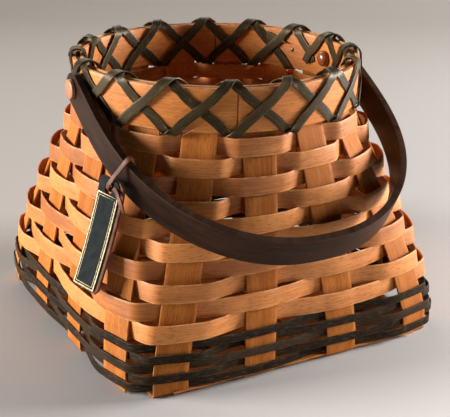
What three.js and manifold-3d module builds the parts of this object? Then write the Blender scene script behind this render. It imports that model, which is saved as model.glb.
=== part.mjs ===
// Splint egg basket: square woven base, round lashed rim, one swinging bail handle and a leather tag.
// Millimetres, Z up, origin at the middle of the underside; the bail lies folded towards -Y.
import * as THREE from 'three';
import Module from 'manifold-3d';

const wasm = await Module();
wasm.setup();

// Body outline
const baseHalf = 138.5;
const widestRow = 2;
const baseSquareness = 6.9;
const roundingPower = 1.7;
const rimMidRadius = 106.3;
const rimBottom = 176;
const rimHeight = 32;
const baseAngleInner = 14.3;
const baseAngleOuter = 38;
const rimAngleInner = 11.25;
const rimAngleOuter = 33.75;
const cornerEase = 1.2;

// Splints
const stakeWidth = 25.4;
const stakeThick = 1.4;
const weaverWidth = 12.7;
const weaverThick = 1.0;
const darkWidth = 6.35;
const darkCount = 5;
const weaverCount = 10;
const darkGap = 0.65;
const firstRowZ = 4.9;
const lastRowTop = 172;
const splintGap = 0.3;
const weaveBulge = 1.2;
const weaverStand = 0.75;
const lapLead = 3;
const edgeMargin = 1.0;
const bendRadius = 3;
const stakeTopInset = 0.5;
const fillerReach = 126;

// Rim and lashing
const hoopThick = 3;
const hoopGap = 0.35;
const hoopSides = 64;
const lashThick = 0.9;
const lashGap = 0.4;
const lashSpan = 10.4;
const lashLead = 1.2;

// Handle, pegs and knobs
const handleThick = 5;
const handleWidth = 24;
const handleGap = 0.5;
const buttonGap = 0.4;
const bailReach = 184;
const bailShape = 2.375;
const bailFlare = 0.058;
const bailSteps = 36;
const restGap = 0.5;
const pegRadius = 3.5;
const boreGap = 0.1;
const buttonRadius = 7.5;
const buttonThick = 3.4;
const knobRadius = 6.5;
const knobHeight = 5.5;
const knobGrip = 2.5;
const knobBoreGap = 0.15;

// Tag and thong
const tagLength = 82;
const tagWidth = 26;
const tagThick = 3;
const tagLean = 17;
const tagYaw = 12;
const tagHole = 4.2;
const tagHoleInset = 8;
const tagCorner = 3;
const tagStation = 154.5;
const tagGap = 0.6;
const hangShare = 0.42;
const thongWidth = 4;
const thongThick = 1.5;
const thongGap = 0.4;
const laceEase = 0.5;
const laceFall = 2.5;
const laceAbove = 4;
const laceBelow = 3;

// Hoop tacks
const tackHead = 1.7;
const tackHeadHeight = 0.7;
const tackShank = 0.6;
const tackLength = 2.2;
const tackAngle = 22.5;
const tackGap = 0.3;
const tackBoreGap = 0.2;

const DEG = Math.PI / 180;
const uprights = 16;
const perFace = uprights / 4;
const turnedSides = 20;
const tackSides = 10;
const radialEase = 1.15;
const scanStep = 4;
const scanSpan = 25;
const rimTop = rimBottom + rimHeight;
const darkPitch = darkWidth + darkGap;
const widestZ = firstRowZ + widestRow * darkPitch - darkGap / 2;
const rows = darkCount + weaverCount;
const crossOffset = stakeThick / 2 + weaverThick / 2 + splintGap;
const group = new THREE.Group();

function material(color, roughness, metalness) {
  return new THREE.MeshStandardMaterial({ color, roughness, metalness });
}

function add(name, geometry, look) {
  const mesh = new THREE.Mesh(geometry, look);
  mesh.name = name;
  group.add(mesh);
}

// Closed geometry from points and triangles, turned to face out.
function solid(points, tris) {
  let volume = 0;
  const cross = new THREE.Vector3();
  for (const [a, b, c] of tris) {
    volume += cross.crossVectors(points[b], points[c]).dot(points[a]);
  }
  const index = tris.flatMap(([a, b, c]) => (volume < 0 ? [a, c, b] : [a, b, c]));
  const geometry = new THREE.BufferGeometry();
  const flat = points.flatMap((p) => [p.x, p.y, p.z]);
  geometry.setAttribute('position', new THREE.Float32BufferAttribute(flat, 3));
  geometry.setIndex(index);
  return geometry;
}

// Skin over a run of equal convex sections, capped at both ends or joined into a ring.
function loft(sections, ring = false) {
  const side = sections[0].length;
  const points = sections.flat();
  const tris = [];
  const spans = ring ? sections.length : sections.length - 1;
  for (let i = 0; i < spans; i += 1) {
    const a = i * side;
    const b = ((i + 1) % sections.length) * side;
    for (let j = 0; j < side; j += 1) {
      const k = (j + 1) % side;
      tris.push([a + j, a + k, b + k], [a + j, b + k, b + j]);
    }
  }
  if (!ring) {
    const end = (sections.length - 1) * side;
    for (let j = 1; j < side - 1; j += 1) {
      tris.push([0, j + 1, j], [end, end + j, end + j + 1]);
    }
  }
  return solid(points, tris);
}

// Turned body about the X axis from [radius, x] pairs that start and end on the axis.
function turned(profile, sides) {
  const points = [];
  const tris = [];
  const last = profile.length - 1;
  points.push(new THREE.Vector3(profile[0][1], 0, 0));
  for (let i = 1; i < last; i += 1) {
    for (let j = 0; j < sides; j += 1) {
      const t = (2 * Math.PI * j) / sides;
      points.push(new THREE.Vector3(profile[i][1], profile[i][0] * Math.cos(t), profile[i][0] * Math.sin(t)));
    }
  }
  const tip = points.length;
  points.push(new THREE.Vector3(profile[last][1], 0, 0));
  for (let j = 0; j < sides; j += 1) {
    const k = (j + 1) % sides;
    tris.push([0, 1 + j, 1 + k]);
    for (let i = 0; i < last - 2; i += 1) {
      const a = 1 + i * sides;
      const b = a + sides;
      tris.push([a + j, b + j, b + k], [a + j, b + k, a + k]);
    }
    const c = 1 + (last - 2) * sides;
    tris.push([c + k, c + j, tip]);
  }
  return solid(points, tris);
}

function toManifold(geometry) {
  const mesh = new wasm.Mesh({
    numProp: 3,
    vertProperties: new Float32Array(geometry.getAttribute('position').array),
    triVerts: new Uint32Array(geometry.getIndex().array),
  });
  mesh.merge();
  return new wasm.Manifold(mesh);
}

function fromManifold(shape) {
  const mesh = shape.getMesh();
  const geometry = new THREE.BufferGeometry();
  geometry.setAttribute('position', new THREE.Float32BufferAttribute(Array.from(mesh.vertProperties), 3));
  geometry.setIndex(Array.from(mesh.triVerts));
  return geometry;
}

// Cuts round holes along X through a body at the two handle pivots.
function pivotBored(geometry, radius) {
  const rod = wasm.Manifold.cylinder(4 * baseHalf, radius, radius, turnedSides, true).rotate([0, 90, 0]);
  return fromManifold(toManifold(geometry).subtract(rod.translate([0, 0, pivotZ])));
}

// Wall outline: a rounded square at the base that turns into a circle at the rim.
function taper(z) {
  return Math.min(1, Math.max(0, (rimBottom - z) / (rimBottom - widestZ)));
}

function halfSide(z) {
  const v = taper(z);
  return rimMidRadius + ((baseHalf - rimMidRadius) * (v + Math.sin((v * Math.PI) / 2))) / 2;
}

function wallRadius(angle, z) {
  const n = 2 + (baseSquareness - 2) * taper(z) ** roundingPower;
  const c = Math.abs(Math.cos(angle));
  const s = Math.abs(Math.sin(angle));
  return halfSide(z) / (c ** n + s ** n) ** (1 / n);
}

function wallNormal(angle, z) {
  const n = 2 + (baseSquareness - 2) * taper(z) ** roundingPower;
  const c = Math.cos(angle);
  const s = Math.sin(angle);
  const nx = Math.sign(c) * Math.abs(c) ** (n - 1);
  const ny = Math.sign(s) * Math.abs(s) ** (n - 1);
  return new THREE.Vector3(nx, ny, 0).normalize();
}

function faceNormal(face) {
  const angle = (face - 1) * 90 * DEG;
  return new THREE.Vector3(Math.round(Math.cos(angle)), Math.round(Math.sin(angle)), 0);
}

function turnLeft(v) {
  return new THREE.Vector3(-v.y, v.x, 0);
}

// Middle, outward normal and tangent of one of the sixteen uprights at a height.
function upright(index, z) {
  const face = Math.floor(index / perFace);
  const place = index % perFace;
  const outer = place === 0 || place === perFace - 1;
  const side = place < perFace / 2 ? -1 : 1;
  const v = taper(z);
  const low = outer ? baseAngleOuter : baseAngleInner;
  const high = outer ? rimAngleOuter : rimAngleInner;
  const angle = ((face - 1) * 90 + side * (high + (low - high) * v)) * DEG;
  const r = wallRadius(angle, z);
  const normal = wallNormal(angle, z);
  const middle = new THREE.Vector3(r * Math.cos(angle), r * Math.sin(angle), z);
  return { middle, normal, tangent: turnLeft(normal) };
}

// Four corners of a flat splint: width along one direction, thickness along another.
function corners(middle, across, through, width, thick) {
  const a = across.clone().multiplyScalar(width / 2);
  const t = through.clone().multiplyScalar(thick / 2);
  return [
    middle.clone().sub(a).sub(t),
    middle.clone().add(a).sub(t),
    middle.clone().add(a).add(t),
    middle.clone().sub(a).add(t),
  ];
}

// Heights of the rows of weaving, lowest first.
const firstNaturalZ = firstRowZ + darkCount * darkPitch;
const weaverPitch = (lastRowTop - firstNaturalZ + splintGap) / weaverCount;
const weaverGap = weaverPitch - weaverWidth;
const rowSpans = [];
for (let row = 0; row < rows; row += 1) {
  const dark = row < darkCount;
  const low = dark ? firstRowZ + row * darkPitch : firstNaturalZ + (row - darkCount) * weaverPitch;
  rowSpans.push([low, low + (dark ? darkWidth : weaverWidth)]);
}
console.log(`gap between weavers ${weaverGap.toFixed(2)} mm`);

// Base splints lie seven each way and pass over and under one another.
const baseLift = (stakeThick + splintGap) / 2;
const baseZ = baseLift + stakeThick / 2;
const innerLine = upright(2, baseZ).middle.x;
const outerLine = upright(3, baseZ).middle.x;
const fillerLine = (innerLine + outerLine) / 2;
const baseLines = [-outerLine, -fillerLine, -innerLine, 0, innerLine, fillerLine, outerLine];

// Sections of one splint across the base: line is its place, along and across are its directions.
function baseRun(line, along, across, lowWhenEven) {
  const sections = [];
  const reach = stakeWidth / 2 + edgeMargin;
  baseLines.forEach((cross, order) => {
    const even = (line + order) % 2 === 0;
    const lift = even === lowWhenEven ? -baseLift : baseLift;
    for (const step of [-reach, reach]) {
      const middle = along.clone().multiplyScalar(cross + step);
      middle.addScaledVector(across, baseLines[line]);
      middle.z = baseZ + lift;
      sections.push(corners(middle, across, new THREE.Vector3(0, 0, -1), stakeWidth, stakeThick));
    }
  });
  return sections;
}

// Sections of one upright from its rim end down to the start of the bend into the base.
function wallRun(index, flip) {
  const sections = [];
  const heights = [rimTop - stakeTopInset, rimBottom, lastRowTop];
  for (let row = rows - 1; row >= darkCount; row -= 1) {
    heights.push(rowSpans[row][0] - weaverGap / 2);
  }
  for (let row = darkCount - 1; row > widestRow; row -= 1) {
    heights.push(rowSpans[row][0] - darkGap / 2);
  }
  heights.push(widestZ, baseZ + bendRadius);
  for (const z of heights) {
    const { middle, normal, tangent } = upright(index, z);
    sections.push(corners(middle, tangent.clone().multiplyScalar(flip), normal, stakeWidth, stakeThick));
  }
  const { middle, normal, tangent } = upright(index, baseZ);
  const out = faceNormal(Math.floor(index / perFace));
  for (const turn of [45, 0]) {
    const mix = turn / 90;
    const outward = normal.clone().lerp(out, 1 - mix).normalize();
    const across = turnLeft(outward).multiplyScalar(flip);
    const s = Math.sin(turn * DEG);
    const c = Math.cos(turn * DEG);
    const place = middle.clone().addScaledVector(out, bendRadius * (s - 1));
    place.z = baseZ + bendRadius * (1 - c);
    const through = outward.multiplyScalar(s).add(new THREE.Vector3(0, 0, -c));
    sections.push(corners(place, across, through, stakeWidth, stakeThick));
  }
  return sections;
}

const naturalLook = material('#b9753f', 0.62, 0);
const stakeLook = material('#a9652f', 0.62, 0);
const darkLook = material('#3d382b', 0.6, 0);

for (let place = 0; place < perFace; place += 1) {
  const line = place * 2;
  const right = new THREE.Vector3(1, 0, 0);
  const back = new THREE.Vector3(0, 1, 0);
  const crosswise = baseRun(line, right, back, false);
  const lengthwise = baseRun(line, back, right, true);
  const leftWall = wallRun(uprights - 1 - place, -1);
  const stakeX = [...leftWall, ...crosswise, ...wallRun(perFace + place, 1).reverse()];
  const backWall = wallRun(3 * perFace - 1 - place, -1);
  const stakeY = [...wallRun(place, 1), ...lengthwise, ...backWall.reverse()];
  add(`stake_x_${place + 1}`, loft(stakeX), stakeLook);
  add(`stake_y_${place + 1}`, loft(stakeY), stakeLook);
}

for (let place = 0; place < perFace - 1; place += 1) {
  const line = place * 2 + 1;
  const right = new THREE.Vector3(1, 0, 0);
  const back = new THREE.Vector3(0, 1, 0);
  for (const [name, along, across, low] of [['x', right, back, false], ['y', back, right, true]]) {
    const run = baseRun(line, along, across, low);
    const reach = fillerReach - outerLine;
    const shift = along.clone().multiplyScalar(reach - stakeWidth / 2 - edgeMargin);
    run.unshift(run[0].map((p) => p.clone().sub(shift)));
    run.push(run[run.length - 1].map((p) => p.clone().add(shift)));
    add(`base_filler_${name}_${place + 1}`, loft(run), stakeLook);
  }
}

// Middle, outward normal and tangent where a row turns the corner after a face.
function cornerPlace(face, z) {
  const angle = (face * 90 - 45) * DEG;
  const normal = new THREE.Vector3(Math.cos(angle), Math.sin(angle), 0);
  const middle = normal.clone().multiplyScalar(wallRadius(angle, z)).setZ(z);
  return { middle, normal, tangent: turnLeft(normal) };
}

// One row of weaving: in front of every second upright, its two ends lapped behind one upright.
// The straight strip stands steeper than the wall, so it touches an upright with one edge only.
function weaver(row) {
  const dark = row < darkCount;
  const [low, high] = rowSpans[row];
  const count = row + 1;
  const half = Math.floor(count / 2);
  const face = count % 2 === 1 ? half % 4 : (half + 2) % 4;
  const start = face * perFace + (count % 2 === 1 ? 2 : 1);
  const edge = stakeWidth / 2 + edgeMargin;
  const stations = [];
  const bulge = dark ? 0 : weaveBulge;
  for (let step = 0; step < uprights; step += 1) {
    const index = (start + step) % uprights;
    const side = (index + count) % 2 === 0 ? 1 : -1;
    stations.push([index, step === 0 ? edgeMargin - stakeWidth / 2 : -edge, side * crossOffset]);
    if (!dark) {
      stations.push([index, 0, side * (crossOffset + bulge)]);
    }
    stations.push([index, edge, side * crossOffset]);
    if (index % perFace === perFace - 1) {
      stations.push([-1 - Math.floor(index / perFace), 0, cornerEase]);
    }
  }
  const deep = -(crossOffset + bulge + weaverThick + splintGap);
  stations.push([start, -edge - lapLead, deep], [start, edge - edgeMargin, deep]);
  const sections = stations.map(([index, along, offset]) => {
    const spot = (z) => (index < 0 ? cornerPlace(-1 - index, z) : upright(index, z));
    const foot = spot(low);
    const head = spot(high);
    const lean = weaverStand * foot.middle.clone().sub(head.middle).dot(head.normal);
    const standOut = index < 0 ? 0.5 : Number(offset > 0);
    return [[foot, (standOut - 1) * lean], [head, standOut * lean]].flatMap(([place, stand], order) => {
      const middle = place.middle.clone().addScaledVector(place.tangent, along);
      middle.addScaledVector(place.normal, offset + stand);
      const half = place.normal.clone().multiplyScalar(weaverThick / 2);
      const pair = [middle.clone().sub(half), middle.clone().add(half)];
      return order === 0 ? pair : pair.reverse();
    });
  });
  return loft(sections);
}

for (let row = 0; row < rows; row += 1) {
  const dark = row < darkCount;
  const name = dark ? `dark_weaver_${row + 1}` : `weaver_${row - darkCount + 1}`;
  add(name, weaver(row), dark ? darkLook : naturalLook);
}

// Two bent hoops clasp the upright ends between them.
const pivotZ = rimBottom + rimHeight / 2;
const polygonEase = 1 / Math.cos(Math.PI / hoopSides);
const stakeCorner = Math.hypot(rimMidRadius + stakeThick / 2, stakeWidth / 2);
const outerHoopIn = (stakeCorner + hoopGap) * polygonEase;
const outerHoopOut = outerHoopIn + hoopThick;
const innerHoopOut = rimMidRadius - stakeThick / 2 - hoopGap;
const innerHoopIn = innerHoopOut - hoopThick;

function hoop(inside, outside) {
  const sections = [];
  for (let i = 0; i < hoopSides; i += 1) {
    const angle = (2 * Math.PI * i) / hoopSides;
    const out = new THREE.Vector3(Math.cos(angle), Math.sin(angle), 0);
    const section = [[inside, rimBottom], [outside, rimBottom], [outside, rimTop], [inside, rimTop]];
    sections.push(section.map(([r, z]) => out.clone().multiplyScalar(r).setZ(z)));
  }
  return loft(sections, true);
}

function tackPlaced(shape, radius, inward) {
  const turn = inward ? 180 : 0;
  return shape.rotate([0, 0, turn]).translate([radius, 0, pivotZ]).rotate([0, 0, tackAngle]);
}

function tackHoled(geometry, radius, inward) {
  const bored = tackShank + tackBoreGap;
  const drill = wasm.Manifold.cylinder(2 * tackLength, bored, bored, tackSides, true);
  const hole = tackPlaced(drill.rotate([0, 90, 0]), radius, inward);
  return fromManifold(toManifold(geometry).subtract(hole));
}

function tack() {
  const profile = [
    [0, tackGap - tackLength],
    [tackShank, 2 * tackGap - tackLength],
    [tackShank, tackGap],
    [tackHead, tackGap],
    [tackHead * 0.7, tackGap + tackHeadHeight * 0.8],
    [0, tackGap + tackHeadHeight],
  ];
  return toManifold(turned(profile, tackSides));
}

const hoopLook = material('#ad6a33', 0.6, 0);
const bore = pegRadius + boreGap;
const outerHoop = pivotBored(hoop(outerHoopIn, outerHoopOut), bore);
const innerHoop = pivotBored(hoop(innerHoopIn, innerHoopOut), bore);
add('rim_outer_hoop', tackHoled(outerHoop, outerHoopOut, false), hoopLook);
add('rim_inner_hoop', tackHoled(innerHoop, innerHoopIn, true), hoopLook);
const tackLook = material('#8b7a5c', 0.4, 0.9);
add('outer_hoop_tack', fromManifold(tackPlaced(tack(), outerHoopOut, false)), tackLook);
add('inner_hoop_tack', fromManifold(tackPlaced(tack(), innerHoopIn, true)), tackLook);

// Flat lashing wound over the rim, two gaps onward with every turn; hand sets the slant.
function lashing(hand, first, layer) {
  const near = lashGap + layer * (lashThick + lashGap);
  const far = near + lashThick;
  const pitch = 360 / uprights;
  const sections = [];
  const station = (angle, face, share) => {
    const a = angle * DEG;
    const out = new THREE.Vector3(Math.cos(a), Math.sin(a), 0);
    const across = turnLeft(out).multiplyScalar(lashSpan / 2);
    const place = (offset) => {
      const r = face > 0 ? outerHoopOut + offset : innerHoopIn - offset;
      const z = rimBottom - offset + share * (rimHeight + 2 * offset);
      return out.clone().multiplyScalar(r).setZ(share > 0 && share < 1 ? rimBottom + share * rimHeight : z);
    };
    const inner = place(near);
    const outer = place(far);
    sections.push([
      inner.clone().sub(across),
      inner.clone().add(across),
      outer.clone().add(across),
      outer.clone().sub(across),
    ]);
  };
  const turns = uprights / 2;
  for (let turn = 0; turn < turns; turn += 1) {
    const from = hand * (first + 2 * turn) * pitch;
    const outside = [0, 0.25, 0.5, 0.75, 1];
    const inside = turn < turns - 1 ? outside : outside.slice(0, 4);
    for (const share of outside) {
      station(from + hand * (lashLead + share * (pitch - 2 * lashLead)), 1, share);
    }
    for (const share of inside) {
      station(from + hand * (pitch + lashLead + share * (pitch - 2 * lashLead)), -1, 1 - share);
    }
  }
  return sections;
}

const lashLook = material('#413b2e', 0.58, 0);
for (const [name, hand, first, layer] of [
  ['lashing_left_1', -1, 0, 0],
  ['lashing_left_2', -1, 1, 0],
  ['lashing_right_1', 1, 0, 1],
  ['lashing_right_2', 1, 1, 1],
]) {
  const sections = lashing(hand, first, layer);
  let least = Infinity;
  sections.forEach((a, i) => {
    sections.forEach((b, j) => {
      if (j - i > 6) {
        a.forEach((p) => b.forEach((q) => { least = Math.min(least, p.distanceTo(q)); }));
      }
    });
  });
  console.log(`${name} least gap between its turns ${least.toFixed(1)} mm`);
  add(name, loft(sections), lashLook);
}

// Bail handle: a bent band in a plane through the two pivots.
const lashOut = outerHoopOut + 2 * (lashThick + lashGap);
const handleIn = Math.hypot(lashOut, lashSpan / 2) + handleGap;
const bailHalf = handleIn + handleThick / 2;

// Place and outward direction on the middle line of the band, in its own plane.
function bailLine(turn) {
  const c = Math.cos(turn * DEG);
  const v = bailReach * Math.abs(Math.sin(turn * DEG)) ** (2 / bailShape);
  const swell = 1 + 6.75 * bailFlare * (v / bailReach) ** 2 * (1 - v / bailReach);
  return [bailHalf * swell * Math.sign(c) * Math.abs(c) ** (2 / bailShape), v];
}

function bailPoint(turn) {
  const [x, v] = bailLine(turn);
  if (turn < 1 || turn > 179) {
    return { x, v, nx: Math.sign(x), nv: 0 };
  }
  const [xa, va] = bailLine(turn - 0.5);
  const [xb, vb] = bailLine(turn + 0.5);
  const size = Math.hypot(xb - xa, vb - va);
  return { x, v, nx: (vb - va) / size, nv: (xa - xb) / size };
}

// Distance from the axis to the outermost weaving.
function weaveOutside(angle, z) {
  const wall = wallRadius(angle, z);
  const stand = weaverStand * (wallRadius(angle, z - weaverWidth) - wall);
  return wall + stand + (crossOffset + weaveBulge + weaverThick / 2) * radialEase;
}

// Least clearance between the folded band and the outermost weaving.
function restClearance(fold) {
  const c = Math.cos(fold * DEG);
  const s = Math.sin(fold * DEG);
  let least = Infinity;
  for (let turn = 5; turn <= 175; turn += 2.5) {
    const p = bailPoint(turn);
    const x = p.x - (p.nx * handleThick) / 2;
    const v = p.v - (p.nv * handleThick) / 2;
    for (const share of [-0.5, -0.25, 0, 0.25, 0.5]) {
      const y = -v * c - share * handleWidth * s;
      const z = pivotZ - v * s + share * handleWidth * c;
      if (z < lastRowTop + weaverWidth / 2) {
        const angle = Math.atan2(y, x);
        least = Math.min(least, Math.hypot(x, y) - weaveOutside(angle, z));
      }
    }
  }
  return least;
}

let foldLow = 10;
let foldHigh = 60;
while (foldHigh - foldLow > 0.01) {
  const fold = (foldLow + foldHigh) / 2;
  if (restClearance(fold) > restGap) {
    foldLow = fold;
  } else {
    foldHigh = fold;
  }
}
const fold = foldLow;
console.log(`handle rests ${fold.toFixed(2)} degrees below level`);
const bailAhead = new THREE.Vector3(0, -Math.cos(fold * DEG), -Math.sin(fold * DEG));
const bailUp = new THREE.Vector3(0, -Math.sin(fold * DEG), Math.cos(fold * DEG));
const pivot = new THREE.Vector3(0, 0, pivotZ);
const sideways = new THREE.Vector3(1, 0, 0);

function bailPlace(x, v) {
  return pivot.clone().addScaledVector(sideways, x).addScaledVector(bailAhead, v);
}

function bailSection(turn) {
  const p = bailPoint(turn);
  const through = sideways.clone().multiplyScalar(p.nx).addScaledVector(bailAhead, p.nv);
  return corners(bailPlace(p.x, p.v), bailUp, through, handleWidth, handleThick);
}

function bailEnd(side) {
  const sections = [];
  for (const turn of [80, 60, 40, 20]) {
    const back = (-handleWidth / 2) * Math.sin(turn * DEG);
    const width = handleWidth * Math.cos(turn * DEG);
    const middle = bailPlace(side * bailHalf, back);
    sections.push(corners(middle, bailUp, sideways.clone().multiplyScalar(side), width, handleThick));
  }
  return sections;
}

const bail = [...bailEnd(1)];
for (let step = 0; step <= bailSteps; step += 1) {
  bail.push(bailSection((180 * step) / bailSteps));
}
bail.push(...bailEnd(-1).reverse());
add('handle', pivotBored(loft(bail), bore), material('#3a2a24', 0.45, 0));

// Pegs turn with the handle; a polished knob closes each one inside the rim.
const handleOut = bailHalf + handleThick / 2;
const knobFoot = Math.sqrt(innerHoopIn ** 2 - knobRadius ** 2) / polygonEase - buttonGap;
const knobTip = knobFoot - knobHeight;
const shankEnd = knobFoot - knobGrip;
const buttonIn = handleOut + buttonGap;
const buttonOut = buttonIn + buttonThick;
const pegProfile = [
  [0, shankEnd],
  [pegRadius, shankEnd],
  [pegRadius, buttonIn],
  [buttonRadius, buttonIn],
  [buttonRadius, buttonIn + buttonThick * 0.55],
  [buttonRadius * 0.7, buttonIn + buttonThick * 0.9],
  [0, buttonOut],
];
const knobProfile = [
  [0, shankEnd - 2 * knobBoreGap],
  [pegRadius + knobBoreGap, shankEnd - 2 * knobBoreGap],
  [pegRadius + knobBoreGap, knobFoot],
  [knobRadius, knobFoot],
  [knobRadius, knobFoot - knobHeight * 0.3],
  [knobRadius * 0.87, knobFoot - knobHeight * 0.65],
  [knobRadius * 0.5, knobFoot - knobHeight * 0.92],
  [0, knobTip],
];
const pegLook = material('#a8703f', 0.55, 0);
const knobLook = material('#8a3f22', 0.25, 0);
for (const [name, side] of [['right', 1], ['left', -1]]) {
  const turn = side > 0 ? 0 : 180;
  const peg = toManifold(turned(pegProfile, turnedSides)).rotate([0, 0, turn]);
  const knob = toManifold(turned(knobProfile, turnedSides)).rotate([0, 0, turn]);
  add(`pivot_peg_${name}`, fromManifold(peg.translate([0, 0, pivotZ])), pegLook);
  add(`peg_knob_${name}`, fromManifold(knob.translate([0, 0, pivotZ])), knobLook);
}

// Leather tag laid against the left wall, outside the band, hung by a thong round the band.
const hang = bailPoint(tagStation);
const hangOut = sideways.clone().multiplyScalar(hang.nx).addScaledVector(bailAhead, hang.nv);
const hangMiddle = bailPlace(hang.x, hang.v);
const tagAside = new THREE.Vector3(-Math.cos(tagYaw * DEG), -Math.sin(tagYaw * DEG), 0);
const tagAcross = turnLeft(tagAside).negate();
const tagOut = tagAside.clone().multiplyScalar(Math.cos(tagLean * DEG)).setZ(Math.sin(tagLean * DEG));
const tagDown = tagAside.clone().multiplyScalar(Math.sin(tagLean * DEG)).setZ(-Math.cos(tagLean * DEG));
const thongOff = thongGap + thongThick / 2;
const hangLow = hangMiddle.clone().addScaledVector(bailUp, -handleWidth * hangShare);
const tagOff = handleThick / 2 + thongThick + 3 * thongGap;
let tagPlane = hangLow.clone().addScaledVector(hangOut, tagOff).dot(tagOut);
for (let down = -tagHoleInset; down <= tagLength; down += scanStep) {
  for (const across of [-tagWidth / 2, 0, tagWidth / 2]) {
    const spot = hangLow.clone().addScaledVector(tagAcross, across);
    spot.z += down * tagDown.z;
    while (Math.hypot(spot.x, spot.y) < weaveOutside(Math.atan2(spot.y, spot.x), spot.z)) {
      spot.addScaledVector(tagAside, tagGap);
    }
    tagPlane = Math.max(tagPlane, spot.dot(tagOut) + tagGap);
  }
}
for (let turn = tagStation - scanSpan; turn <= Math.min(179, tagStation + scanSpan); turn += 1) {
  const p = bailPoint(turn);
  const out = sideways.clone().multiplyScalar(p.nx).addScaledVector(bailAhead, p.nv);
  for (let share = -0.5; share <= 0.5; share += 0.125) {
    const edge = bailPlace(p.x, p.v).addScaledVector(out, handleThick / 2);
    edge.addScaledVector(bailUp, share * handleWidth);
    const beside = Math.abs(edge.clone().sub(hangLow).dot(tagAcross)) < tagWidth / 2 + scanStep;
    if (beside && edge.z < hangLow.z + tagHoleInset + scanStep) {
      tagPlane = Math.max(tagPlane, edge.dot(tagOut) + tagGap);
    }
  }
}
const holeLift = (tagPlane + tagThick / 2 - hangLow.dot(tagOut)) / hangOut.dot(tagOut);
const tagHoleMiddle = hangLow.clone().addScaledVector(hangOut, holeLift);
console.log(`tag hole at ${tagHoleMiddle.toArray().map((n) => n.toFixed(2)).join(' ')}`);

const tagTop = tagHoleInset;
const tagBottom = tagHoleInset - tagLength;
const tagOutline = [
  [-tagWidth / 2 + tagCorner, tagTop],
  [tagWidth / 2 - tagCorner, tagTop],
  [tagWidth / 2, tagTop - tagCorner],
  [tagWidth / 2, tagBottom + tagCorner],
  [tagWidth / 2 - tagCorner, tagBottom],
  [-tagWidth / 2 + tagCorner, tagBottom],
  [-tagWidth / 2, tagBottom + tagCorner],
  [-tagWidth / 2, tagTop - tagCorner],
];
const tagFace = (z) => tagOutline.map(([x, y]) => new THREE.Vector3(x, y, z));
const tagDrill = wasm.Manifold.cylinder(4 * tagThick, tagHole, tagHole, 16, true);
const tagBody = loft([tagFace(-tagThick / 2), tagFace(tagThick / 2)]);
const tagGeometry = fromManifold(toManifold(tagBody).subtract(tagDrill));
const tagTurn = new THREE.Matrix4().makeBasis(tagAcross.clone().negate(), tagDown.clone().negate(), tagOut);
tagGeometry.applyMatrix4(tagTurn.setPosition(tagHoleMiddle));
add('tag', tagGeometry, material('#23261f', 0.6, 0));

// Thong: a closed lace loop in the plane across the band, through the hole of the tag.
const lacePlace = (out, up) => hangMiddle.clone().addScaledVector(hangOut, out).addScaledVector(bailUp, up);
const bandOut = handleThick / 2 + thongOff;
const bandUp = handleWidth / 2 + thongOff;
const holeOut = tagHoleMiddle.clone().sub(hangMiddle).dot(hangOut);
const holeUp = tagHoleMiddle.clone().sub(hangMiddle).dot(bailUp);
const pastTag = tagThick / 2 + thongOff;
const onTag = (side, up) => holeOut + (side * pastTag - up * bailUp.dot(tagOut)) / hangOut.dot(tagOut);
const laceTop = tagHoleInset + laceAbove;
const lace = [
  [laceEase - bandOut, bandUp],
  [bandOut - laceEase, bandUp],
  [bandOut + 3 * laceEase, bandUp - laceFall],
  [onTag(1, laceTop), holeUp + laceTop],
  [onTag(1, laceBelow), holeUp + laceBelow],
  [onTag(1, laceEase) - 3 * laceEase, holeUp + laceEase],
  [onTag(-1, -laceEase), holeUp - laceEase],
  [bandOut - laceEase, -bandUp - laceEase],
  [laceEase - bandOut, -bandUp],
  [-bandOut, laceEase - bandUp],
  [-bandOut, bandUp - laceEase],
];
const laceAcross = new THREE.Vector3().crossVectors(hangOut, bailUp).normalize();
const laceSections = lace.map((here, i) => {
  const before = lace[(i + lace.length - 1) % lace.length];
  const after = lace[(i + 1) % lace.length];
  const a = new THREE.Vector2(here[0] - before[0], here[1] - before[1]).normalize();
  const b = new THREE.Vector2(after[0] - here[0], after[1] - here[1]).normalize();
  const bend = a.clone().add(b).normalize();
  const mitre = 1 / Math.max(0.6, bend.dot(a));
  const side = new THREE.Vector2(-bend.y, bend.x).multiplyScalar((mitre * thongThick) / 2);
  const middle = lacePlace(here[0], here[1]);
  const half = hangOut.clone().multiplyScalar(side.x).addScaledVector(bailUp, side.y);
  return corners(middle, laceAcross, half, thongWidth, 2);
});
add('thong', loft(laceSections, true), material('#6b3a24', 0.6, 0));

export default group;
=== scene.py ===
import math
import random

import bpy
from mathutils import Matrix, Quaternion, Vector


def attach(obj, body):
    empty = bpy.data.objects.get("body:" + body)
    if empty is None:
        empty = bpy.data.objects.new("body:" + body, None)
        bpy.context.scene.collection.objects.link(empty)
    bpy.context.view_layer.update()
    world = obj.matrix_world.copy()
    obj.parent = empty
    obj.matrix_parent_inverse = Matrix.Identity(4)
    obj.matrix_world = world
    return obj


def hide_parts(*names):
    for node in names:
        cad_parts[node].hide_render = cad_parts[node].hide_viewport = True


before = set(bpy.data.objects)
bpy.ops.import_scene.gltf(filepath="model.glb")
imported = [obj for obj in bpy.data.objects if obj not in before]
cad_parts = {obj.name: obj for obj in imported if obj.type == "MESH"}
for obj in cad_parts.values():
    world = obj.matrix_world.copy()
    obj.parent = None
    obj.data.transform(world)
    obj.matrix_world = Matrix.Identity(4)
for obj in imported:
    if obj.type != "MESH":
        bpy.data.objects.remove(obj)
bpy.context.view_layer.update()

# The photograph looks down on the near left corner of the basket from a little under a metre away,
# with a long lens and a very slight roll.
view_turn = math.radians(-28.7)
view_height = math.radians(21.0)
view_distance = 0.9315
view_aim = Vector((0.0077, -0.0042, 0.0773))
view_roll = math.radians(0.76)
view_lens = 90.9
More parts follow.
